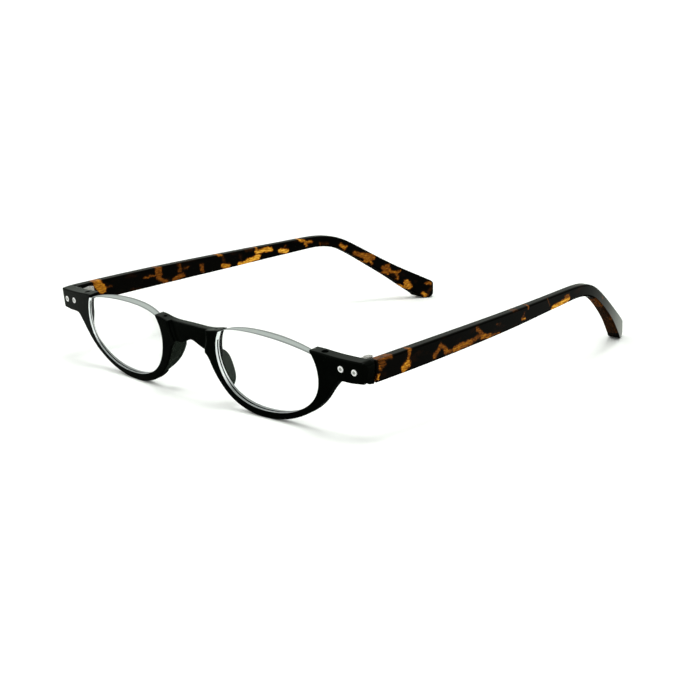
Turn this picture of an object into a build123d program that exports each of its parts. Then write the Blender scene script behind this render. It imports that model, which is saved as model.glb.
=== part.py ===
from build123d import *
import math
import os

# Half-rim reading glasses: a moulded half-rim front with two strong plus lenses,
# bonded nose pads, riveted barrel hinges and two bowed temples.
#
# Frame of the part: +Z up, the glasses stand open on a table, on the bottoms of
# the two rims and on the two temple tips.  The front looks along -Y, the temples
# run back along +Y, +X is the wearer's left.  Origin: middle of the footprint,
# on the table.
#
# The front, lenses, pads and hinges are drawn in an upright frame (X across,
# Y back from the middle of the front face, Z up) and then leaned forward.

# ---------------------------------------------------------------- dimensions
TILT = 7.3               # forward lean of the front, degrees
FRONT_SHIFT_Y = 2.90     # where the upright frame's origin lands after leaning
FRONT_SHIFT_Z = 0.30
CENTRE_Y = -70.88        # moves the middle of the footprint to Y = 0

FACE_R = 440.0           # face-form radius of the front face
THICK = 3.6              # thickness of the front at the bridge and end pieces
RIM_THICK = 2.45         # thickness of the rims below them
THIN_FROM, THICK_FROM = 11.5, 15.5   # the thickness grows between these heights
EDGE_R = 0.42            # rounding of the front's outer edges

BRIDGE_STEP = 1.25       # the bridge's face lies this far behind the rims' faces
BRIDGE_HALF = 8.1        # half width of the stepped-back bridge face

END_X = 65.15            # outer side of the end pieces
BOSS_X = 62.75           # the end piece is deeper outboard of this
END_BACK_Y = 9.08        # rear face of the end piece, where the temple butts
TEMPLE_GAP = 0.12        # gap between end piece and open temple

GROOVE_FROM = 0.95       # lens groove, behind the front face
GROOVE_TO = 1.85
GROOVE_DEEP = 0.60
TONGUE_DEEP = 0.50       # bevel on the lens edge that sits in the groove
LENS_FIT = 0.03

LENS_TILT = 3.95         # wrap of each lens
LENS_C = (30.5, 12.0)    # optical centre, across and up
LENS_FRONT_R = 232.0
LENS_BACK_R = 205.0
LENS_MID_T = 3.85        # thickness at the optical centre

HINGE_X = 59.47          # hinge pin
HINGE_W = 11.55
KNUCKLE_R = 1.22
PIN_R = 0.60
PIN_CLEAR = 0.03
HEAD_R = 0.93
KNUCKLES = [15.10, 15.98, 16.86, 17.74, 18.62, 19.50]   # heights of the five knuckles' ends
KNUCKLE_GAP = 0.025

RIVET_X = (57.15, 61.45) # where their heads show on the front face
RIVET_V = (18.08, 17.72) # and how high, in the upright frame
RIVET_R = 0.70
RIVET_HEAD_R = 0.90
RIVET_PROUD = 0.16

TEMPLE_EDGE_R = 0.55

SETTLE = 0.2355          # the whole pair is turned by this about the rims' feet, so that the
SETTLE_Y = -67.1         # temple tips come down on the table, degrees and mm

# inner edge of the rim (also the lens outline), inner horn round to outer horn
OPENING = [(14.37, 22.70), (12.19, 19.02), (11.66, 14.84), (12.55, 10.67), (14.64, 7.05),
           (17.70, 4.41), (21.46, 2.74), (25.65, 1.89), (30.01, 1.72), (34.26, 2.07),
           (38.34, 2.99), (42.22, 4.56), (45.74, 6.90), (48.24, 10.15), (49.20, 14.19),
           (48.68, 18.38), (46.85, 22.02)]
# exposed top edge of the lens, inner to outer
LENS_TOP = [(14.10, 21.85), (18.25, 23.02), (22.50, 23.43), (26.75, 23.52), (31.00, 23.36),
            (35.25, 23.02), (39.50, 22.46), (43.75, 21.66), (47.20, 20.80)]
# outer edge of the rim, end piece round to the nose arch
RIM_OUT = [(55.30, 14.20), (52.63, 11.02), (50.00, 7.85), (46.72, 5.10), (43.08, 2.98),
           (39.19, 1.35), (35.10, 0.25), (30.86, -0.33), (26.56, -0.40), (22.33, 0.18),
           (18.34, 1.50), (14.77, 3.62), (11.75, 6.59), (9.35, 10.16), (7.60, 13.50)]


def cyl(x, r):
    return r - math.sqrt(r * r - x * x)


def spline(pts, tangents=None):
    p = [Vector(a, 0, b) for a, b in pts]
    if tangents:
        return Spline(*p, tangents=[Vector(t[0], 0, t[1]) for t in tangents])
    return Spline(*p)


def line(a, b):
    return Line(Vector(a[0], 0, a[1]), Vector(b[0], 0, b[1]))


def face_of(edges):
    return Face(Wire(edges))


def through(face, y0=-12.0, y1=24.0):
    """Prism of an XZ face, from y0 to y1."""
    return extrude(Pos(0, y0, 0) * face, amount=y1 - y0, dir=(0, 1, 0))


def slab(front_off, back_off, v0=-6.0, v1=32.0, x=72.0):
    """Upright curved slab between two offsets of the face-form cylinder."""
    rf, rb = FACE_R - front_off, FACE_R - back_off
    f = [Vector(-x, cyl(x, rf) + front_off, 0), Vector(0, front_off, 0), Vector(x, cyl(x, rf) + front_off, 0)]
    b = [Vector(-x, cyl(x, rb) + back_off, 0), Vector(0, back_off, 0), Vector(x, cyl(x, rb) + back_off, 0)]
    w = Wire([ThreePointArc(*f), Line(f[2], b[2]), ThreePointArc(b[2], b[1], b[0]), Line(b[0], f[0])])
    return extrude(Pos(0, 0, v0) * Face(w), amount=v1 - v0, dir=(0, 0, 1))


def thick_at(v):
    t = min(max((v - THIN_FROM) / (THICK_FROM - THIN_FROM), 0.0), 1.0)
    return RIM_THICK + (THICK - RIM_THICK) * t * t * (3 - 2 * t)


def revolved_slab():
    """The front's curved plate: thin behind the rims, thicker behind the bridge and end pieces."""
    n = 10
    mid = [Vector(0, thick_at(THIN_FROM + (THICK_FROM - THIN_FROM) * i / n), THIN_FROM + (THICK_FROM - THIN_FROM) * i / n)
           for i in range(n + 1)]
    w = Wire([
        Line(Vector(0, 0, -6), Vector(0, RIM_THICK, -6)),
        Line(Vector(0, RIM_THICK, -6), mid[0]),
        Spline(*mid, tangents=[Vector(0, 0, 1), Vector(0, 0, 1)]),
        Line(mid[-1], Vector(0, THICK, 32)),
        Line(Vector(0, THICK, 32), Vector(0, 0, 32)),
        Line(Vector(0, 0, 32), Vector(0, 0, -6)),
    ])
    whole = revolve(Pos(0, -FACE_R, 0) * Face(w), axis=Axis.Z, revolution_arc=20.0)
    return Pos(0, FACE_R, 0) * (Rot(0, 0, -10) * whole)


def mirrored(shape):
    return shape.mirror(Plane.YZ)


def lean(shape):
    """Upright frame to the part's frame."""
    return Pos(0, FRONT_SHIFT_Y + CENTRE_Y, FRONT_SHIFT_Z) * (Rot(TILT, 0, 0) * shape)


def solid_of(shape):
    s = shape.solids()
    return max(s, key=lambda q: q.volume)


# ---------------------------------------------------------------- the outlines
top_in = [(0.0, 21.10), (4.0, 21.05), (7.4, 21.10), (10.0, 21.40), (12.2, 21.80), (14.6, 22.00)]
top_out = [(45.2, 21.68), (48.2, 21.76), (50.8, 21.54), (53.6, 21.22), (58.4, 20.88), (63.4, 20.70)]
side_top, side_bot = (END_X - 0.05, 19.20), (END_X - 0.25, 16.35)
under = [(63.35, 14.66), (60.8, 14.52), (58.6, 14.56), (56.8, 14.62), (55.30, 14.20)]
arch = [(7.60, 13.50), (7.05, 14.10), (6.10, 14.50), (4.90, 14.82), (3.30, 15.40), (1.60, 16.10), (0.0, 16.50)]

half = [
    spline(top_in, [(1, 0), (1, 0.12)]),
    line(top_in[-1], top_out[0]),
    spline(top_out, [(1, 0.12), (1, -0.02)]),
    spline([top_out[-1], side_top], [(1, -0.02), (-0.06, -1)]),
    line(side_top, side_bot),
    spline([side_bot, under[0]], [(-0.08, -1), (-1, 0)]),
    spline(under, [(-1, 0), (-0.72, -0.70)]),
    spline(RIM_OUT + arch[1:], [(-0.70, -0.72), (-1, 0)]),
]
outline = Wire(half + [mirrored(e) for e in half])
outline_face = Face(outline)

u_curve = spline(OPENING)
t0, t1 = u_curve % 0.0, u_curve % 1.0
p0, p1 = u_curve @ 0.0, u_curve @ 1.0
up0 = p0 - t0 * 6.0
up1 = p1 + t1 * 6.0
opening_edges = [
    u_curve,
    Line(p1, up1),
    Line(up1, Vector(up1.X, 0, 40)),
    Line(Vector(up1.X, 0, 40), Vector(up0.X, 0, 40)),
    Line(Vector(up0.X, 0, 40), up0),
    Line(up0, p0),
]
opening_face = Face(Wire(opening_edges))
opening = through(opening_face)

# ---------------------------------------------------------------- front frame
body_slab = revolved_slab()
front = through(outline_face) & body_slab
for o in (opening, mirrored(opening)):
    front = front - o
front = solid_of(front)

# the bridge's face is stepped back from the rims
step = [(-BRIDGE_HALF, 26), (BRIDGE_HALF, 26), (BRIDGE_HALF, 19.6), (7.65, 17.4), (6.85, 15.6), (6.1, 12.0),
        (-6.1, 12.0), (-6.85, 15.6), (-7.65, 17.4), (-BRIDGE_HALF, 19.6)]
step_edges = [
    line(step[0], step[1]), line(step[1], step[2]),
    spline([step[2], step[3], step[4]], [(0, -1), (-0.5, -1)]),
    line(step[4], step[5]), line(step[5], step[6]), line(step[6], step[7]),
    spline([step[7], step[8], step[9]], [(-0.5, 1), (0, 1)]),
    line(step[9], step[0]),
]
step_cut = through(Face(Wire(step_edges))) & slab(-8.0, BRIDGE_STEP)
front = solid_of(front - step_cut)


# the outer corner of each end piece is well rounded, seen from above
corner = Spline(Vector(63.30, cyl(63.30, FACE_R), 0), Vector(64.62, 5.32, 0), Vector(65.50, 6.95, 0),
                tangents=[Vector(1, 0.1454, 0), Vector(0.22, 1, 0)])
c0, c1 = corner @ 0, corner @ 1
corner_cut = Face(Wire([corner, Line(c1, Vector(68, c1.Y, 0)), Line(Vector(68, c1.Y, 0), Vector(68, 0, 0)),
                        Line(Vector(68, 0, 0), Vector(c0.X, 0, 0)), Line(Vector(c0.X, 0, 0), c0)]))
corner_cut = extrude(Pos(0, 0, 5) * corner_cut, amount=25, dir=(0, 0, 1))
front = solid_of(front - corner_cut - mirrored(corner_cut))


def on_surface(e, off, tol=0.02):
    n = 0
    for t in (0.15, 0.5, 0.85):
        p = e.position_at(t)
        if abs(FACE_R - math.hypot(p.X, p.Y - FACE_R) - off) < tol:
            n += 1
    return n == 3


def on_back(e, tol=0.03):
    n = 0
    for t in (0.15, 0.5, 0.85):
        p = e.position_at(t)
        if abs(FACE_R - math.hypot(p.X, p.Y - FACE_R) - thick_at(p.Z)) < tol:
            n += 1
    return n == 3


def on_opening(e, tol=0.02):
    p = e.position_at(0.5)
    q = Vector(abs(p.X), 0, p.Z)
    d = min(u_curve.distance_to(Vertex(q.X, q.Y, q.Z)), Line(p0, up0).distance_to(Vertex(q.X, q.Y, q.Z)),
            Line(p1, up1).distance_to(Vertex(q.X, q.Y, q.Z)))
    return d < tol


def try_fillet(shape, edges, radii):
    for r in radii:
        try:
            out = solid_of(shape.fillet(r, edges))
            if out.is_valid and out.volume > 0.8 * shape.volume:
                print("fillet", r, "on", len(edges), "edges")
                return out
        except Exception:
            pass
    print("no fillet on", len(edges), "edges")
    return shape


back_edges = [e for e in front.edges() if on_back(e) and not on_opening(e)]
print("back edges", len(back_edges))
front = try_fillet(front, back_edges, (EDGE_R, 0.3, 0.2))


def front_edges(shape):
    out = []
    for e in shape.edges():
        p = e.position_at(0.5)
        corner_edge = abs(p.X) > 63.2 and p.Y < 7.0 and abs(e.tangent_at(0.5).Y) < 0.97
        if (on_surface(e, 0.0) or on_surface(e, BRIDGE_STEP) or corner_edge) and not on_opening(e):
            out.append(e)
    return out


print("front edges", len(front_edges(front)))
front = try_fillet(front, front_edges(front), (EDGE_R, 0.36, 0.3, 0.2))

# deeper outer end of each end piece, cut square to the temples at the back
boss_face = face_of([
    line((BOSS_X, 20.60), (63.4, 20.60)), spline([(63.4, 20.60), (END_X - 0.14, 19.2)], [(1, 0), (-0.06, -1)]),
    line((END_X - 0.14, 19.2), (END_X - 0.33, 16.0)),
    spline([(END_X - 0.33, 16.0), (63.6, 13.5)], [(-0.08, -1), (-1, 0)]),
    line((63.6, 13.5), (BOSS_X, 13.5)), line((BOSS_X, 13.5), (BOSS_X, 20.60))])
# its underside runs down towards the back
boss_side = extrude(Face(Wire.make_polygon([Vector(0, 6.1, 14.66), Vector(0, 9.6, 13.72), Vector(0, 9.6, 24), Vector(0, 6.1, 24)])),
                    amount=90, dir=(1, 0, 0))
boss = through(boss_face, 6.1, 16.0) & boss_side
front = front + boss + mirrored(boss)
front = lean(solid_of(front))
rear_cut = Pos(0, END_BACK_Y + CENTRE_Y + 20, 10) * Box(200, 40, 80)
front = solid_of(front - rear_cut)
back_outer = [e for e in front.edges() if abs(e.position_at(0.5).Y - (END_BACK_Y + CENTRE_Y)) < 1e-3
              and abs(e.position_at(0.1).Y - (END_BACK_Y + CENTRE_Y)) < 1e-3]
front = try_fillet(front, back_outer, (0.3, 0.2, 0.12))


# lens grooves
gx = []
n = 44
for i in range(n + 1):
    t = i / n
    p, d = u_curve @ t, u_curve % t
    out = Vector(-d.Z, 0, d.X)
    q = p + out * GROOVE_DEEP
    if (q - Vector(30.5, 0, 13)).length < (p - Vector(30.5, 0, 13)).length:
        out = out * -1
    gx.append((p, out))
GROOVE_STOP = 20.4       # the groove runs out just under the horns


def u_offset(d, stop=GROOVE_STOP):
    pts = [p + o * d for p, o in gx]
    pts = [q for q in pts if q.Z < stop]
    s = Spline(*pts)
    a, b = s @ 0, s @ 1
    return Face(Wire([s, Line(b, a)]))


groove = through(u_offset(GROOVE_DEEP)) & slab(GROOVE_FROM, GROOVE_TO)
for g in (groove, mirrored(groove)):
    front = front - lean(g)

# rivet holes, hinge pockets
plate_mid = (RIVET_X[0] + RIVET_X[1]) / 2 - 0.48
HINGE_YAW = math.degrees(math.asin(plate_mid / (FACE_R - THICK)))
plate_back = THICK + cyl(plate_mid, FACE_R - THICK)
hinge_loc = Location((plate_mid, plate_back, 0), (0, 0, HINGE_YAW))
POCKET = 0.45
PLATE_T = 0.85
PLATE_L, PLATE_H = 6.7, 4.9
PLATE_V = 17.48


def rounded_block(lx, ly, lz, r, axis=Axis.Y):
    b = Box(lx, ly, lz)
    return fillet(b.edges().filter_by(axis), r)


pocket = hinge_loc * Pos(0, -POCKET / 2 + 1.0, PLATE_V) * rounded_block(PLATE_L + 0.1, POCKET + 2.0, PLATE_H + 0.1, 0.9)
front = front - lean(pocket) - lean(mirrored(pocket))


def rivet_axis(x, v):
    yaw = math.degrees(math.asin(x / FACE_R))
    return Location((x, cyl(x, FACE_R), v), (0, 0, yaw))


RIVETS = list(zip(RIVET_X, RIVET_V))
for x, v in RIVETS:
    hole = rivet_axis(x, v) * Pos(0, 3.0, 0) * Rot(90, 0, 0) * Cylinder(RIVET_R + 0.02, 9.0)
    sink = rivet_axis(x, v) * Pos(0, 0.15, 0) * Rot(90, 0, 0) * Cylinder(RIVET_HEAD_R + 0.03, 0.9)
    for s in (hole, sink):
        front = front - lean(s) - lean(mirrored(s))

# small blind moulding marks on the tops of the horns
for x, v, w, r in ((50.95, 21.54, 4.70, 0.95), (10.9, 21.50, 1.95, 0.55)):
    mark = Pos(x, w, v + 0.6) * Cylinder(r, 2.0)
    front = front - lean(mark) - lean(mirrored(mark))

# ---------------------------------------------------------------- nose pads
# each pad is let into the nose side of the rim and stands back of it as a rounded fin
NOSE = [(17.2, 2.10), (14.77, 3.62), (11.75, 6.59), (9.35, 10.16), (7.66, 13.50), (7.12, 14.90), (6.90, 16.50)]
PAD_FRONT = 0.55
PAD_WIDE = 1.50
PAD_FLARE = 11.0
PAD_SIDE = [(0.30, 3.85), (1.90, 4.45), (3.40, 5.12), (5.00, 6.02), (6.25, 7.30), (6.95, 9.10), (7.25, 11.00),
            (7.12, 12.70), (6.30, 14.05), (4.85, 14.95), (3.30, 15.22), (1.60, 15.12), (0.30, 14.95)]


def nose_strip(inset, wide):
    a = [Vector(x + inset, 0, z) for x, z in NOSE]
    b = [Vector(x + inset + wide, 0, z) for x, z in reversed(NOSE)]
    return Face(Wire([Spline(*a), Line(a[-1], b[0]), Spline(*b), Line(b[-1], a[0])]))


def prism(face, y0, y1, flare=0.0):
    d = Vector(math.sin(math.radians(flare)), math.cos(math.radians(flare)), 0)
    return extrude(Pos(0, y0, 0) * face, amount=(y1 - y0) / d.Y, dir=tuple(d))


def side_prism(pts, grow=0.0):
    c = Vector(0, 3.5, 10.5)
    p = [Vector(0, a, b) for a, b in pts]
    if grow:
        p = [q + (q - c).normalized() * grow for q in p]
    return extrude(Face(Wire([Spline(*p), Line(p[-1], p[0])])), amount=24, dir=(1, 0, 0))


pad = solid_of(prism(nose_strip(0.02, PAD_WIDE), PAD_FRONT, 9.0, PAD_FLARE) & side_prism(PAD_SIDE))
rear = [e for e in pad.edges() if e.position_at(0.5).Y > 3.0 and e.length > 4.0]
print("pad edges", len(pad.edges()), "rear", len(rear))
whole_pad = pad
pad = try_fillet(pad, rear, (0.55, 0.45, 0.35, 0.25, 0.15))
pocket_n = prism(nose_strip(-2.0, PAD_WIDE + 2.02), PAD_FRONT - 0.02, 6.0, PAD_FLARE) & side_prism(PAD_SIDE, 0.03)
front = front - lean(pocket_n) - lean(mirrored(pocket_n))
front = solid_of(front)

# ---------------------------------------------------------------- lenses
lens_loc = Location((LENS_C[0], 0, LENS_C[1]), (0, 0, LENS_TILT))
lens_front_y = cyl(LENS_C[0], FACE_R) - 0.36
sph_f = lens_loc * Pos(0, lens_front_y + LENS_FRONT_R, 0) * Sphere(LENS_FRONT_R)
sph_b = lens_loc * Pos(0, lens_front_y + LENS_MID_T - LENS_BACK_R, 0) * Sphere(LENS_BACK_R)
lens_block = lens_loc * Pos(0, 2, 0) * Box(60, 16, 60)
lens_slab = lens_block & sph_f & sph_b


def lens_outline(inset):
    """U of the rim inset by a small fit, closed by the exposed top edge."""
    pts = [p - o * inset for p, o in gx]
    u = Spline(*pts)
    a, b = u @ 0, u @ 1
    ta, tb = u % 0, u % 1
    w = Wire([u, Line(b, b + tb * 4), Line(b + tb * 4, Vector((b + tb * 4).X, 0, 34)),
              Line(Vector((b + tb * 4).X, 0, 34), Vector((a - ta * 4).X, 0, 34)),
              Line(Vector((a - ta * 4).X, 0, 34), a - ta * 4), Line(a - ta * 4, a)])
    return Face(w)


top_curve = spline(LENS_TOP)
ta, tb = top_curve % 0, top_curve % 1
qa, qb = top_curve @ 0, top_curve @ 1
below = Face(Wire([top_curve, Line(qb, qb + tb * 8), Line(qb + tb * 8, Vector((qb + tb * 8).X, 0, -12)),
                   Line(Vector((qb + tb * 8).X, 0, -12), Vector((qa - ta * 8).X, 0, -12)),
                   Line(Vector((qa - ta * 8).X, 0, -12), qa - ta * 8), Line(qa - ta * 8, qa)]))
lens = (through(lens_outline(LENS_FIT)) & through(below)) & lens_slab
tongue = through(u_offset(TONGUE_DEEP, GROOVE_STOP - 0.35)) & slab(GROOVE_FROM + 0.06, GROOVE_TO - 0.06)
lens = solid_of(lens + tongue)

# ---------------------------------------------------------------- hinges
def knuckle(i, r=KNUCKLE_R):
    lo, hi = KNUCKLES[i] + KNUCKLE_GAP / 2, KNUCKLES[i + 1] - KNUCKLE_GAP / 2
    return lo, hi


plate_c = plate_back - POCKET + 0.02 + PLATE_T / 2
front_leaf = hinge_loc * Pos(0, -POCKET + 0.02 + PLATE_T / 2, PLATE_V) * rounded_block(PLATE_L, PLATE_T, PLATE_H, 0.85)
leaf_back = plate_back - POCKET + 0.02 + PLATE_T
for i in (0, 2, 4):
    lo, hi = knuckle(i)
    c = Pos(HINGE_X, HINGE_W, (lo + hi) / 2) * Cylinder(KNUCKLE_R, hi - lo)
    web_len = HINGE_W - leaf_back + 0.5
    w = Pos(HINGE_X - 0.10, leaf_back - 0.5 + web_len / 2, (lo + hi) / 2) * Box(1.9, web_len, hi - lo)
    front_leaf = front_leaf + c + w
pin_hole = Pos(HINGE_X, HINGE_W, 17.3) * Cylinder(PIN_R + PIN_CLEAR, 12)
head_hole = Pos(HINGE_X, HINGE_W, KNUCKLES[5] + 0.5 - 0.45) * Cylinder(HEAD_R + 0.03, 1.0)
front_leaf = front_leaf - pin_hole - head_hole
for x, v in RIVETS:
    front_leaf = front_leaf - rivet_axis(x, v) * Pos(0, 3.0, 0) * Rot(90, 0, 0) * Cylinder(RIVET_R + 0.02, 9.0)
front_leaf = solid_of(front_leaf)

# slotted hinge screw, seated from above
scr_lo, scr_hi = KNUCKLES[0] + 0.05, KNUCKLES[5] + 0.06
screw = Pos(HINGE_X, HINGE_W, (scr_lo + scr_hi) / 2) * Cylinder(PIN_R, scr_hi - scr_lo)
head = Pos(HINGE_X, HINGE_W, KNUCKLES[5] - 0.45 + 0.27) * Cylinder(HEAD_R, 0.50)
screw = screw + head
screw = screw - Pos(HINGE_X, HINGE_W, scr_hi) * Rot(0, 0, 35) * Box(3.0, 0.34, 0.52)
screw = solid_of(screw)

rivets = []
for x, v in RIVETS:
    loc = rivet_axis(x, v)
    length = 3.55 - POCKET + PLATE_T + 0.10
    shank = loc * Pos(0, length / 2, 0) * Rot(90, 0, 0) * Cylinder(RIVET_R, length)
    cap = loc * Pos(0, 0.16, 0) * Rot(90, 0, 0) * Cylinder(RIVET_HEAD_R, 0.56)
    cap = fillet(cap.edges().filter_by(GeomType.CIRCLE).sort_by(Axis.Y)[0], 0.14)
    rivets.append(solid_of(shank + cap))

# ---------------------------------------------------------------- temples
TOP_YZ = [(9.20, 21.55), (25.0, 22.22), (40.0, 22.76), (55.5, 23.20), (70.5, 23.60), (84.0, 23.97), (94.5, 24.27)]
BEND_TOP = [(94.5, 24.27), (101.4, 24.28), (107.0, 23.50), (111.2, 21.92), (115.0, 19.75)]
TIP_TOP = [(115.0, 19.75), (121.2, 15.85), (129.9, 10.55), (138.0, 6.10)]
LOW_YZ = [(9.20, 15.60), (25.0, 16.33), (40.2, 17.10), (55.6, 17.92), (70.7, 18.82), (84.0, 19.75), (94.0, 20.42)]
BEND_LOW = [(94.0, 20.42), (99.8, 20.75), (105.0, 20.30), (109.2, 18.98), (112.9, 16.95)]
TIP_LOW = [(112.9, 16.95), (119.0, 12.85), (127.0, 7.05), (133.4, 1.95)]
TIP_END = [(133.4, 1.95), (135.4, 0.20), (137.6, -0.50), (139.8, 0.02), (141.25, 1.60), (141.35, 3.40), (140.25, 4.78), (138.0, 6.10)]
TIP_CAP = (40.55, 139.30, 2.0)    # the tip's round end seen from above: centre x, centre y, radius
TIP_AIM = (-0.477, 0.879)         # the way the tip points, seen from above


def yz(pts, tan=None):
    p = [Vector(0, a, b) for a, b in pts]
    if tan:
        return Spline(*p, tangents=[Vector(0, *t) for t in tan])
    return Spline(*p)


top_line = TOP_YZ + BEND_TOP[1:] + TIP_TOP[1:]
low_line = LOW_YZ + BEND_LOW[1:] + TIP_LOW[1:]
TIP_DIR_TOP = (0.865, -0.50)
TIP_DIR_LOW = (0.80, -0.60)
side_wire = Wire([
    yz(top_line, [(1, 0.044), TIP_DIR_TOP]),
    Spline(*[Vector(0, a, b) for a, b in reversed(TIP_END)], tangents=[Vector(0, *TIP_DIR_TOP), Vector(0, -TIP_DIR_LOW[0], -TIP_DIR_LOW[1])]),
    yz(list(reversed(low_line)), [(-TIP_DIR_LOW[0], -TIP_DIR_LOW[1]), (-1, -0.048)]),
    Line(Vector(0, *LOW_YZ[0]), Vector(0, *TOP_YZ[0])),
])
side = extrude(Face(side_wire), amount=90, dir=(1, 0, 0))

CENTRE_X = [(9.20, 63.70), (20.0, 63.27), (30.0, 62.70), (40.1, 62.00), (50.3, 61.16), (60.5, 60.19), (70.6, 59.09),
            (80.8, 57.85), (91.0, 56.50), (101.2, 55.10), (110.9, 52.98), (119.5, 50.12), (128.0, 46.42), (136.5, 42.07), (143.5, 38.27)]
HALF_T = [(9.20, 1.60), (30, 1.55), (60, 1.45), (90, 1.38), (104, 1.48), (116, 1.82), (128, 2.16), (136.5, 2.28), (143.5, 2.26)]


def half_t(y):
    for (a, b), (c, d) in zip(HALF_T, HALF_T[1:]):
        if y <= c:
            return b + (d - b) * (y - a) / (c - a)
    return HALF_T[-1][1]


cap_x, cap_y, cap_r = TIP_CAP
aim_x, aim_y = TIP_AIM
outer = [Vector(x + half_t(y), y, 0) for y, x in CENTRE_X[:-1]] + [Vector(cap_x + aim_y * cap_r, cap_y - aim_x * cap_r, 0)]
inner = [Vector(x - half_t(y), y, 0) for y, x in CENTRE_X[:-1]] + [Vector(cap_x - aim_y * cap_r, cap_y + aim_x * cap_r, 0)]
cap_end = Vector(cap_x + aim_x * cap_r, cap_y + aim_y * cap_r, 0)
plan_wire = Wire([Spline(*outer), ThreePointArc(outer[-1], cap_end, inner[-1]), Spline(*reversed(inner)), Line(inner[0], outer[0])])
plan = extrude(Pos(0, 0, -5) * Face(plan_wire), amount=40, dir=(0, 0, 1))
temple = solid_of(side & plan)
long_edges = [e for e in temple.edges() if e.geom_type != GeomType.LINE]
print("temple edges", len(temple.edges()), "long", len(long_edges))
temple = try_fillet(temple, long_edges, (TEMPLE_EDGE_R, 0.45, 0.35, 0.25))
temple = try_fillet(temple, [e for e in temple.edges() if abs(e.position_at(0.5).Y - 9.20) < 0.01 and abs(e.position_at(0.1).Y - 9.20) < 0.01], (0.25, 0.15))
temple = Pos(0, CENTRE_Y, 0) * temple

# hinge leaf in the temple: a plate moulded into the temple, with two knuckles on webs
# that come out through its inner face
LEAF_X = 63.05           # mid-plane of the moulded-in plate
LEAF_T, LEAF_L, LEAF_H = 0.90, 8.4, 3.4
LEAF_Y, LEAF_Z = 15.2, 18.98
FIT = 0.01


def leaf_plate(g):
    b = Box(LEAF_T + 2 * g, LEAF_L + 2 * g, LEAF_H + 2 * g)
    return Pos(LEAF_X, LEAF_Y + CENTRE_Y, LEAF_Z) * Rot(2.6, 0, 0) * fillet(b.edges().filter_by(Axis.X), 0.8)


t_leaf = leaf_plate(0.0)
webs = []
for i in (1, 3):
    lo, hi = knuckle(i)
    c = Pos(HINGE_X, HINGE_W, (lo + hi) / 2) * Cylinder(KNUCKLE_R, hi - lo)
    wl = LEAF_X - HINGE_X
    w = Pos(HINGE_X + wl / 2, HINGE_W + 0.20, (lo + hi) / 2) * Box(wl, 1.9, hi - lo)
    slot = Pos(HINGE_X + wl / 2, HINGE_W + 0.20, (lo + hi) / 2) * Box(wl, 1.9 + 2 * FIT, hi - lo + 2 * FIT)
    t_leaf = t_leaf + lean(c + w)
    webs.append(slot)
t_leaf = solid_of(t_leaf - lean(pin_hole))
temple = temple - leaf_plate(FIT)
for w in webs:
    temple = temple - lean(w)
temple = solid_of(temple)

# ---------------------------------------------------------------- write
def settle(shape):
    return Pos(0, SETTLE_Y, 0) * (Rot(SETTLE, 0, 0) * (Pos(0, -SETTLE_Y, 0) * shape))


os.makedirs("parts", exist_ok=True)
parts = {
    "front_frame": front,
    "lens_left": lean(lens), "lens_right": lean(mirrored(lens)),
    "nose_pad_left": lean(pad), "nose_pad_right": lean(mirrored(pad)),
    "front_hinge_left": lean(front_leaf), "front_hinge_right": lean(mirrored(front_leaf)),
    "hinge_screw_left": lean(screw), "hinge_screw_right": lean(mirrored(screw)),
    "front_rivets_left": Compound([lean(r) for r in rivets]),
    "front_rivets_right": Compound([lean(mirrored(r)) for r in rivets]),
    "temple_left": temple, "temple_right": mirrored(temple),
    "temple_hinge_left": t_leaf, "temple_hinge_right": mirrored(t_leaf),
}
for name, shape in parts.items():
    shape = settle(shape)
    shape.label = name
    export_step(shape, f"parts/{name}.step")
    b = shape.bounding_box()
    print(f"{name:20s} solids {len(shape.solids())} vol {shape.volume:9.2f}  x {b.min.X:7.2f} {b.max.X:7.2f}  y {b.min.Y:7.2f} {b.max.Y:7.2f}  z {b.min.Z:6.2f} {b.max.Z:6.2f}")
a = settle(lean(Pos(HINGE_X, HINGE_W, 17.3) * Box(0.01, 0.01, 0.01))).center()
print("hinge axis point", a, "dir", (0, -math.sin(math.radians(TILT + SETTLE)), math.cos(math.radians(TILT + SETTLE))))
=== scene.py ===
import math
import bpy
import numpy as np
from mathutils import Matrix, Vector

# Half rim eyeglasses: black front, clear lenses, tortoise temples, nickel hinges.
# Units are metres, in the frame of the CAD part.

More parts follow.
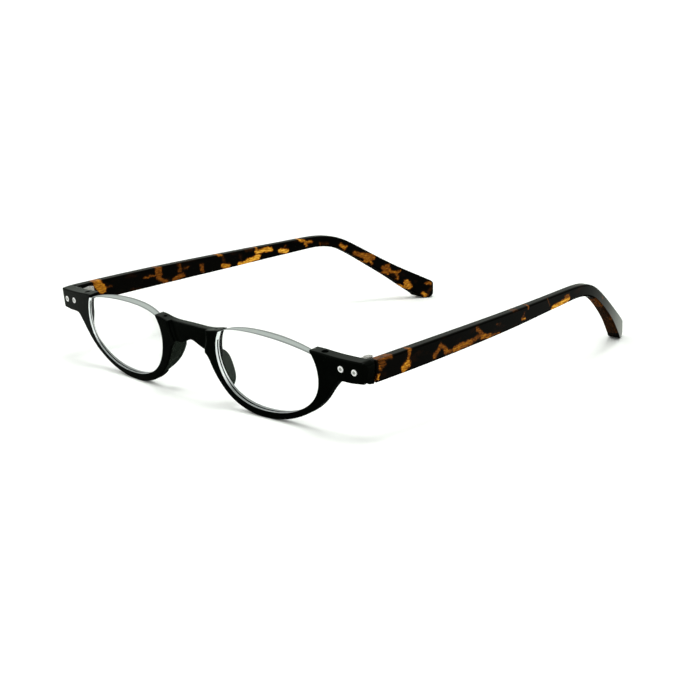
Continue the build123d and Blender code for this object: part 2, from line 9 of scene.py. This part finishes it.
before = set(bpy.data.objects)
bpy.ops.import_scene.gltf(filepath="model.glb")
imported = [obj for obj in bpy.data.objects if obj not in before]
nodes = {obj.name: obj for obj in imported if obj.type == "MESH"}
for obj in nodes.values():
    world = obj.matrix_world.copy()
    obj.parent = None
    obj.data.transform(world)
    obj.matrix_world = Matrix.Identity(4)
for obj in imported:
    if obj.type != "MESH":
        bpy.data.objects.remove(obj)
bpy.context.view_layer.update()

# ---------------------------------------------------------------- pattern of the temples
# Amber flecks as short strokes seen from the side: y0, z0, y1, z1, radius in mm, brightness.
FLECKS_LEFT = [
    (-60.4, 21.2, -59.3, 20.2, 0.76, 0.35), (-60.6, 19.9, -60.4, 19.1, 0.41, 0.5),
    (-61.2, 17.7, -61.2, 16.6, 0.28, 1.0), (-60.1, 21.7, -56.1, 21.8, 0.61, 0.4),
    (-48.9, 22.0, -49.5, 20.1, 0.57, 0.55), (-49.8, 18.5, -51.5, 17.3, 0.93, 0.75),
    (-39.2, 18.0, -37.6, 19.7, 0.52, 0.5), (-37.6, 20.0, -36.4, 20.8, 0.5, 0.45),
    (-36.4, 20.5, -34.0, 18.4, 0.6, 0.5), (-34.9, 18.2, -30.6, 18.3, 0.47, 0.5),
    (-30.6, 18.4, -23.7, 19.0, 0.72, 0.6), (-23.7, 19.0, -20.2, 19.9, 0.51, 0.45),
    (-20.6, 21.9, -18.6, 19.7, 0.7, 0.45), (-18.8, 19.4, -15.2, 19.0, 0.62, 0.6),
    (-15.2, 19.1, -10.7, 18.9, 0.27, 0.5), (-12.0, 21.4, -10.3, 21.5, 0.22, 0.3),
    (-0.0, 20.7, 1.5, 20.6, 0.28, 0.8), (0.8, 21.3, 1.1, 22.4, 0.33, 0.3), (3.4, 23.9, 3.1, 23.1, 0.22, 0.6),
    (-4.0, 23.8, -2.6, 23.8, 0.33, 0.25), (12.9, 23.9, 14.0, 21.8, 0.25, 0.35),
    (15.6, 20.7, 18.9, 21.3, 0.6, 0.95), (18.9, 21.3, 24.0, 21.9, 0.6, 0.9), (22.6, 22.6, 23.9, 23.0, 0.52, 0.5),
    (39.9, 18.6, 45.2, 15.3, 0.59, 0.3), (45.2, 15.3, 53.5, 9.5, 0.42, 0.17), (53.5, 9.5, 62.0, 2.9, 0.49, 0.2),
    (44.6, 18.6, 45.4, 17.7, 0.36, 0.35), (52.5, 11.1, 53.8, 9.5, 0.36, 0.3),
]
FLECKS_RIGHT = [
    (-54.6, 21.5, -52.9, 19.2, 1.27, 0.7), (-51.3, 19.6, -49.4, 19.5, 0.24, 0.4),
    (-42.0, 17.0, -39.3, 16.9, 0.49, 0.15), (-31.9, 22.4, -31.7, 21.0, 1.0, 0.45),
    (-37.1, 20.3, -30.7, 20.6, 0.28, 0.5), (-32.3, 19.6, -29.1, 17.7, 0.62, 0.45),
    (-24.0, 22.6, -23.9, 20.5, 0.56, 0.3), (-26.3, 18.1, -22.9, 19.1, 0.63, 0.45),
    (-23.3, 21.3, -21.0, 21.2, 0.28, 0.3), (-15.7, 21.1, -15.3, 19.4, 0.57, 0.4),
    (-9.2, 23.6, -7.9, 23.4, 0.38, 0.6), (-7.6, 22.8, -7.0, 20.7, 0.51, 0.2), (-7.5, 19.8, -5.5, 19.5, 0.7, 0.75),
    (-1.4, 19.6, 2.0, 20.0, 0.51, 0.95), (2.0, 20.0, 6.2, 21.1, 0.74, 1.0), (5.7, 23.9, 5.7, 22.6, 0.55, 0.6),
    (5.7, 22.7, 11.0, 22.9, 0.65, 0.9), (-0.9, 22.5, -0.4, 21.1, 0.29, 0.2), (1.7, 23.8, 3.5, 23.8, 0.52, 0.2),
    (15.1, 21.8, 17.4, 21.4, 0.62, 1.0), (16.7, 23.0, 17.1, 23.2, 0.33, 0.35),
    (22.6, 24.4, 24.2, 23.8, 0.39, 0.8), (24.4, 23.1, 27.0, 23.3, 0.4, 0.7), (25.0, 23.3, 25.2, 22.4, 0.43, 0.7),
    (30.5, 22.4, 33.6, 21.8, 0.33, 0.2), (30.4, 21.2, 30.7, 22.3, 0.23, 0.4),
    (38.4, 21.1, 39.3, 20.0, 0.63, 0.65), (39.4, 19.5, 39.6, 19.2, 0.3, 0.6), (40.0, 20.2, 40.3, 20.4, 0.3, 0.6),
    (43.3, 17.6, 45.8, 16.5, 0.67, 0.45), (45.8, 16.5, 49.1, 15.5, 0.91, 0.55),
    (46.8, 14.4, 48.3, 14.9, 0.61, 0.6), (48.5, 14.5, 49.5, 13.4, 0.3, 0.6), (52.6, 11.7, 54.9, 10.9, 0.61, 0.5),
    (53.9, 12.2, 54.4, 12.1, 0.47, 0.5), (53.5, 10.3, 54.4, 9.7, 0.58, 0.55), (54.9, 10.5, 57.3, 9.4, 0.37, 0.6),
    (57.3, 9.4, 58.2, 10.4, 0.27, 0.6), (56.6, 9.2, 57.6, 8.4, 0.27, 0.5), (57.6, 8.4, 57.2, 7.3, 0.27, 0.5),
    (60.3, 5.9, 61.1, 4.6, 0.85, 0.75), (59.7, 4.9, 60.9, 3.8, 0.54, 0.75), (66.6, 5.2, 68.5, 4.8, 0.38, 0.65),
    (65.6, 1.7, 66.3, 0.9, 0.58, 0.75), (68.2, 3.3, 67.1, 1.8, 0.48, 0.2),
]

RIVET_CENTRES = [(57.14, 18.72), (61.44, 18.44)]


def lens_edge_borders():
    """y as a quadratic in |x| along the front and back borders of the lens' bare top edge, in mm."""
    mesh = nodes["lens_left"].data
    pts = set()
    for poly in mesh.polygons:
        if poly.normal.z > 0.7:
            for i in poly.vertices:
                co = mesh.vertices[i].co * 1000
                pts.add((round(co.x, 3), round(co.y, 3)))
    pts = np.array(sorted(pts))
    middle = np.polyval(np.polyfit(pts[:, 0], pts[:, 1], 2), pts[:, 0])
    front, back = pts[pts[:, 1] < middle], pts[pts[:, 1] >= middle]
    return np.polyfit(front[:, 0], front[:, 1], 2), np.polyfit(back[:, 0], back[:, 1], 2)


EDGE_FRONT, EDGE_BACK = lens_edge_borders()
print("lens edge", EDGE_FRONT, EDGE_BACK)

# ---------------------------------------------------------------- node helpers


def new_material(name):
    m = bpy.data.materials.new(name)
    m.use_nodes = True
    m.node_tree.nodes.clear()
    return m, m.node_tree


def node(nt, kind, inputs=None, **props):
    n = nt.nodes.new(kind)
    for k, v in props.items():
        setattr(n, k, v)
    for k, v in (inputs or {}).items():
        if isinstance(v, bpy.types.NodeSocket):
            nt.links.new(v, n.inputs[k])
        else:
            n.inputs[k].default_value = v
    return n


def maths(nt, op, a, b=None, c=None, clamp=False):
    n = node(nt, "ShaderNodeMath", {0: a}, operation=op, use_clamp=clamp)
    for i, v in ((1, b), (2, c)):
        if v is not None:
            if isinstance(v, bpy.types.NodeSocket):
                nt.links.new(v, n.inputs[i])
            else:
                n.inputs[i].default_value = v
    return n.outputs[0]


def vmath(nt, op, a, b=None, out=0):
    n = node(nt, "ShaderNodeVectorMath", {0: a}, operation=op)
    if b is not None:
        k = "Scale" if op == "SCALE" else 1
        if isinstance(b, bpy.types.NodeSocket):
            nt.links.new(b, n.inputs[k])
        else:
            n.inputs[k].default_value = b
    return n.outputs[out]


def position_mm(nt):
    tc = node(nt, "ShaderNodeTexCoord")
    return vmath(nt, "SCALE", tc.outputs["Object"], 1000.0)


def noise(nt, vec, scale, detail=3.0, rough=0.5):
    return node(nt, "ShaderNodeTexNoise", {"Vector": vec, "Scale": scale, "Detail": detail, "Roughness": rough})


def ranged(nt, v, a, b, lo, hi):
    return node(nt, "ShaderNodeMapRange", {"Value": v, "From Min": a, "From Max": b, "To Min": lo, "To Max": hi}).outputs[0]


def mixed(nt, fac, a, b):
    n = node(nt, "ShaderNodeMix", data_type="RGBA")
    for i, v in ((0, fac), (6, a), (7, b)):
        if isinstance(v, bpy.types.NodeSocket):
            nt.links.new(v, n.inputs[i])
        else:
            n.inputs[i].default_value = v
    return n.outputs[2]


def gloss(nt, base, rough, normal, f0, edge, power, tint=(1, 1, 1, 1), body_rough=0.6):
    """A polished dielectric: the body under a clear reflection that rises towards grazing angles."""
    body = node(nt, "ShaderNodeBsdfPrincipled", {"Base Color": base, "Roughness": body_rough, "Specular IOR Level": 0.0, "Normal": normal})
    shine = node(nt, "ShaderNodeBsdfGlossy", {"Color": tint, "Roughness": rough, "Normal": normal})
    lw = node(nt, "ShaderNodeLayerWeight", {"Blend": 0.5, "Normal": normal})
    f = maths(nt, "POWER", lw.outputs["Facing"], power)
    f = maths(nt, "MULTIPLY_ADD", f, edge, f0, clamp=True)
    mix = node(nt, "ShaderNodeMixShader", {0: f, 1: body.outputs[0], 2: shine.outputs[0]})
    node(nt, "ShaderNodeOutputMaterial", {"Surface": mix.outputs[0]})
    return body


def black_plastic():
    m, nt = new_material("front_black_gloss")
    p = position_mm(nt)
    n1 = noise(nt, p, 0.22, 3)
    n2 = noise(nt, p, 5.0, 4)
    rough = ranged(nt, n1.outputs["Fac"], 0.3, 0.7, 0.10, 0.20)
    h = maths(nt, "MULTIPLY_ADD", n2.outputs["Fac"], 0.35, n1.outputs["Fac"])
    bump = node(nt, "ShaderNodeBump", {"Strength": 0.05, "Distance": 0.0002, "Height": h})
    base = mixed(nt, n1.outputs["Fac"], (0.0005, 0.0008, 0.0005, 1), (0.0014, 0.0019, 0.0013, 1))
    gloss(nt, base, rough, bump.outputs[0], 0.0022, 1.25, 6.9, (0.92, 1.0, 0.91, 1))
    return m


def pad_plastic():
    m, nt = new_material("nose_pad_satin")
    p = position_mm(nt)
    n1 = noise(nt, p, 0.5, 3)
    rough = ranged(nt, n1.outputs["Fac"], 0.3, 0.7, 0.18, 0.30)
    bump = node(nt, "ShaderNodeBump", {"Strength": 0.06, "Distance": 0.0002, "Height": n1.outputs["Fac"]})
    base = mixed(nt, n1.outputs["Fac"], (0.006, 0.009, 0.006, 1), (0.014, 0.019, 0.014, 1))
    gloss(nt, base, rough, bump.outputs[0], 0.006, 0.5, 4.6, (0.92, 1.0, 0.91, 1))
    return m


def tortoise(name, flecks):
    m, nt = new_material(name)
    p = position_mm(nt)
    # ragged outlines: the side coordinates are pushed about by noise
    w = noise(nt, p, 0.62, 6, 0.58)
    w2 = vmath(nt, "SUBTRACT", w.outputs["Color"], (0.5, 0.5, 0.5))
    w2 = vmath(nt, "MULTIPLY", w2, (0.0, 2.6, 1.5))
    side = vmath(nt, "MULTIPLY", p, (0.0, 1.0, 1.0))
    side = vmath(nt, "ADD", side, w2)
    acc = None
    for y0, z0, y1, z1, r, b in flecks:
        ba = Vector((0, y1 - y0, z1 - z0))
        l2 = max(ba.length_squared, 1e-4)
        pa = vmath(nt, "SUBTRACT", side, (0.0, y0, z0))
        h = vmath(nt, "DOT_PRODUCT", pa, tuple(ba / l2), out=1)
        h = maths(nt, "MULTIPLY", h, 1.0, clamp=True)
        n = node(nt, "ShaderNodeVectorMath", {0: tuple(ba)}, operation="SCALE")
        nt.links.new(h, n.inputs["Scale"])
        d = vmath(nt, "LENGTH", vmath(nt, "SUBTRACT", pa, n.outputs[0]), out=1)
        soft = 0.30
        k = maths(nt, "MULTIPLY_ADD", d, -1.0 / (2 * soft), (r * 1.22 + soft) / (2 * soft), clamp=True)
        k = maths(nt, "MULTIPLY", k, b)
        acc = k if acc is None else maths(nt, "MAXIMUM", acc, k)
    # faint brown clouds everywhere, and streaks inside the flecks
    cloud = noise(nt, vmath(nt, "MULTIPLY", p, (1.0, 0.35, 1.0)), 0.35, 4, 0.55)
    faint = ranged(nt, cloud.outputs["Fac"], 0.58, 0.80, 0.0, 0.16)
    streak = noise(nt, vmath(nt, "MULTIPLY", p, (1.0, 0.55, 3.0)), 1.1, 5, 0.65)
    s = ranged(nt, streak.outputs["Fac"], 0.32, 0.66, 0.46, 1.22)
    amt = maths(nt, "MULTIPLY", maths(nt, "MAXIMUM", acc, faint), s, clamp=True)
    ramp = node(nt, "ShaderNodeValToRGB", {"Fac": amt})
    cr = ramp.color_ramp
    stops = [(0.0, (0.0009, 0.0008, 0.0005, 1)), (0.18, (0.016, 0.005, 0.0010, 1)), (0.45, (0.17, 0.050, 0.005, 1)),
             (0.75, (0.50, 0.20, 0.012, 1)), (1.0, (0.88, 0.46, 0.055, 1))]
    cr.elements[0].position, cr.elements[0].color = stops[0]
    cr.elements[1].position, cr.elements[1].color = stops[-1]
    for pos, col in stops[1:-1]:
        cr.elements.new(pos).color = col
    n2 = noise(nt, p, 0.3, 3)
    rough = ranged(nt, n2.outputs["Fac"], 0.3, 0.7, 0.09, 0.18)
    bump = node(nt, "ShaderNodeBump", {"Strength": 0.05, "Distance": 0.0002, "Height": n2.outputs["Fac"]})
    gloss(nt, ramp.outputs[0], rough, bump.outputs[0], 0.0014, 0.90, 6.4, (0.95, 1.0, 0.92, 1))
    return m


def lens_glass():
    m, nt = new_material("lens_clear")
    p = position_mm(nt)
    n1 = noise(nt, p, 0.12, 2)
    geo = node(nt, "ShaderNodeNewGeometry")
    nrm = node(nt, "ShaderNodeSeparateXYZ", {0: geo.outputs["Normal"]})
    nz = nrm.outputs[2]
    side = ranged(nt, maths(nt, "ABSOLUTE", nrm.outputs[1]), 0.60, 0.90, 0.85, 0.0)
    bump = node(nt, "ShaderNodeBump", {"Strength": 0.01, "Distance": 0.0001, "Height": n1.outputs["Fac"]})
    glass = node(nt, "ShaderNodeBsdfPrincipled", {"Base Color": (0.985, 0.995, 0.99, 1), "Roughness": 0.0, "IOR": 1.24,
                 "Transmission Weight": 1.0, "Normal": bump.outputs[0]})
    # the ground top edge: milky grey, with a painted highlight along its middle and painted shade along its two
    # borders
    sp = node(nt, "ShaderNodeSeparateXYZ", {0: p})
    ax = maths(nt, "ABSOLUTE", sp.outputs[0])

    def curve(k):
        inner = maths(nt, "MULTIPLY_ADD", ax, float(k[0]), float(k[1]))
        return maths(nt, "MULTIPLY_ADD", inner, ax, float(k[2]))

    # depth through the lens: 0 at the front border of the edge, 1 at the back border
    near, back = curve(EDGE_FRONT), curve(EDGE_BACK)
    depth = maths(nt, "DIVIDE", maths(nt, "SUBTRACT", sp.outputs[1], near), maths(nt, "SUBTRACT", back, near))
    mid = maths(nt, "ABSOLUTE", maths(nt, "SUBTRACT", depth, 0.5))
    # painted shade darkens both borders of the edge, a painted highlight lightens its middle
    edge_border_shade = ranged(nt, mid, 0.30, 0.47, 0.0, 1.0)
    edge_colour_painted_light = mixed(nt, edge_border_shade, (0.26, 0.295, 0.272, 1), (0.075, 0.09, 0.084, 1))
    edge = node(nt, "ShaderNodeBsdfPrincipled", {"Base Color": edge_colour_painted_light, "Roughness": 0.3, "IOR": 1.3})
    up = ranged(nt, nz, 0.45, 0.75, 0.0, 0.92)
    # the ground bevel inside the rim's groove, milky white with a painted glow (emission), which shows through the
    # lens as a pale band
    milky = node(nt, "ShaderNodeBsdfPrincipled", {"Base Color": (0.86, 0.90, 0.88, 1), "Roughness": 0.45, "Specular IOR Level": 0.2,
                 "Emission Color": (0.80, 0.86, 0.83, 1), "Emission Strength": 0.18})
    body = node(nt, "ShaderNodeMixShader", {0: side, 1: glass.outputs[0], 2: milky.outputs[0]})
    body = node(nt, "ShaderNodeMixShader", {0: up, 1: body.outputs[0], 2: edge.outputs[0]})
    clear = node(nt, "ShaderNodeBsdfTransparent", {"Color": (0.97, 0.985, 0.975, 1)})
    lp = node(nt, "ShaderNodeLightPath")
    mix = node(nt, "ShaderNodeMixShader", {0: lp.outputs["Is Shadow Ray"], 1: body.outputs[0], 2: clear.outputs[0]})
    node(nt, "ShaderNodeOutputMaterial", {"Surface": mix.outputs[0]})
    return m


def rivet_metal():
    m, nt = new_material("rivet_polished")
    p = position_mm(nt)
    n1 = noise(nt, p, 1.5, 4)
    rough = ranged(nt, n1.outputs["Fac"], 0.3, 0.7, 0.30, 0.42)
    x = node(nt, "ShaderNodeSeparateXYZ", {0: p})
    ax = maths(nt, "ABSOLUTE", x.outputs[0])
    far = None
    for cx, cz in RIVET_CENTRES:
        c = node(nt, "ShaderNodeCombineXYZ", {0: maths(nt, "SUBTRACT", ax, cx), 1: maths(nt, "SUBTRACT", x.outputs[2], cz)})
        d = vmath(nt, "LENGTH", c.outputs[0], out=1)
        far = d if far is None else maths(nt, "MINIMUM", far, d)
    # grey centre, then a white band that is a painted highlight, then a dark outer band that is painted shade
    highlight_ring = ranged(nt, far, 0.38, 0.56, 0.0, 1.0)
    rim = ranged(nt, far, 0.80, 0.90, 0.0, 1.0)
    base = mixed(nt, highlight_ring, (0.34, 0.36, 0.33, 1), (1.0, 1.0, 0.98, 1))
    base = mixed(nt, rim, base, (0.30, 0.31, 0.30, 1))
    b = node(nt, "ShaderNodeBsdfPrincipled", {"Base Color": base, "Metallic": 0.35, "Roughness": rough})
    node(nt, "ShaderNodeOutputMaterial", {"Surface": b.outputs[0]})
    return m


def metal(name, colour, rough_lo, rough_hi, scale=1.5):
    m, nt = new_material(name)
    p = position_mm(nt)
    n1 = noise(nt, p, scale, 4)
    rough = ranged(nt, n1.outputs["Fac"], 0.3, 0.7, rough_lo, rough_hi)
    bump = node(nt, "ShaderNodeBump", {"Strength": 0.08, "Distance": 0.0001, "Height": n1.outputs["Fac"]})
    dark = tuple(c * 0.8 for c in colour[:3]) + (1,)
    base = mixed(nt, n1.outputs["Fac"], dark, colour)
    b = node(nt, "ShaderNodeBsdfPrincipled", {"Base Color": base, "Metallic": 1.0, "Roughness": rough, "Normal": bump.outputs[0]})
    node(nt, "ShaderNodeOutputMaterial", {"Surface": b.outputs[0]})
    return m


MATERIALS = {
    "front_frame": black_plastic(),
    "nose_pad": pad_plastic(),
    "lens": lens_glass(),
    "front_hinge": metal("hinge_nickel", (0.50, 0.49, 0.45, 1), 0.20, 0.36),
    "hinge_screw": metal("screw_bright", (0.78, 0.78, 0.74, 1), 0.15, 0.28),
    "front_rivets": rivet_metal(),
    "temple_left": tortoise("tortoise_left", FLECKS_LEFT),
    "temple_right": tortoise("tortoise_right", FLECKS_RIGHT),
}
MATERIALS["temple_hinge"] = MATERIALS["front_hinge"]
for name, obj in nodes.items():
    key = next(k for k in ("temple_hinge", "front_hinge", "hinge_screw", "front_rivets", "front_frame", "lens",
                           "nose_pad", "temple_left", "temple_right") if name.startswith(k))
    obj.data.materials.clear()
    obj.data.materials.append(MATERIALS[key])

# ---------------------------------------------------------------- stage
bpy.ops.mesh.primitive_plane_add(size=30, location=(0, 0, -0.00002))
floor = bpy.context.object
floor.name = "floor"
m, nt = new_material("floor_white")
tc = node(nt, "ShaderNodeTexCoord")
fn = noise(nt, tc.outputs["Object"], 3.0, 2)
fb = node(nt, "ShaderNodeBsdfPrincipled", {"Base Color": mixed(nt, fn.outputs["Fac"], (0.90, 0.925, 0.895, 1), (0.92, 0.94, 0.915, 1)),
          "Roughness": 0.9, "Specular IOR Level": 0.0, "Emission Color": (1.0, 1.0, 1.0, 1)})
# painted light: the floor glows, not at all near the glasses and more strongly farther away
floor_glow_distance = vmath(nt, "LENGTH", tc.outputs["Object"], out=1)
nt.links.new(ranged(nt, floor_glow_distance, 0.25, 1.3, 0.0, 0.32), fb.inputs["Emission Strength"])
node(nt, "ShaderNodeOutputMaterial", {"Surface": fb.outputs[0]})
floor.data.materials.append(m)
floor.visible_glossy = False

# a white wall all round, far away, that only the camera and the lenses see
bpy.ops.mesh.primitive_cylinder_add(vertices=96, radius=13, depth=16, end_fill_type="NOTHING", location=(0, 0, 7.9))
wall = bpy.context.object
wall.name = "backdrop"
m, nt = new_material("backdrop_white")
tc = node(nt, "ShaderNodeTexCoord")
wn = noise(nt, tc.outputs["Object"], 0.1, 1)
we = node(nt, "ShaderNodeEmission", {"Color": (1, 1, 1, 1), "Strength": ranged(nt, wn.outputs["Fac"], 0.0, 1.0, 1.02, 1.06)})
node(nt, "ShaderNodeOutputMaterial", {"Surface": we.outputs[0]})
wall.data.materials.append(m)
wall.visible_glossy = wall.visible_diffuse = wall.visible_shadow = False

world = bpy.data.worlds.new("studio")
bpy.context.scene.world = world
world.use_nodes = True
wt = world.node_tree
wt.nodes.clear()
tc = node(wt, "ShaderNodeTexCoord")
z = node(wt, "ShaderNodeSeparateXYZ", {0: tc.outputs["Generated"]}).outputs[2]
up = ranged(wt, z, 0.24, 0.64, 0.40, 1.05)
up.node.interpolation_type = "SMOOTHSTEP"
down = ranged(wt, z, -0.43, -0.25, 0.03, 1.0)
down.node.interpolation_type = "SMOOTHSTEP"
above = maths(wt, "GREATER_THAN", z, 0.0)
s = node(wt, "ShaderNodeMix", {0: above, 2: down, 3: up}).outputs[0]
lp = node(wt, "ShaderNodeLightPath")
s = node(wt, "ShaderNodeMix", {0: lp.outputs["Is Camera Ray"], 2: s, 3: 1.05}).outputs[0]
bg = node(wt, "ShaderNodeBackground", {"Color": (0.985, 1.0, 0.975, 1), "Strength": s})
node(wt, "ShaderNodeOutputWorld", {"Surface": bg.outputs[0]})


def softbox(name, direction, distance, size, power):
    d = Vector(direction).normalized()
    data = bpy.data.lights.new(name, "AREA")
    data.shape = "SQUARE"
    data.size = size
    data.energy = power
    o = bpy.data.objects.new(name, data)
    bpy.context.scene.collection.objects.link(o)
    o.location = d * distance
    o.rotation_mode = "QUATERNION"
    o.rotation_quaternion = d.to_track_quat("Z", "Y")
    return o


softbox("softbox_left", (-0.70, -0.25, 0.66), 1.1, 0.24, 1.9)
softbox("softbox_top", (0.06, 0.05, 1.0), 1.2, 0.42, 4.4)
softbox("softbox_front", (0.50, -0.66, 0.50), 1.1, 0.18, 1.7)

cam_data = bpy.data.cameras.new("camera")
cam_data.sensor_width = 36.0
cam_data.lens = 94.67
cam_data.clip_start = 0.01
cam_data.clip_end = 60.0
camera = bpy.data.objects.new("camera", cam_data)
bpy.context.scene.collection.objects.link(camera)
camera.matrix_world = Matrix((
    (0.69693521, -0.17234534, 0.69611666, 0.383884),
    (0.71705409, 0.18197195, -0.67284444, -0.379048),
    (-0.0107121, 0.96808228, 0.25040359, 0.140684),
    (0, 0, 0, 1)))
bpy.context.scene.camera = camera
bpy.context.scene.view_settings.view_transform = "Standard"
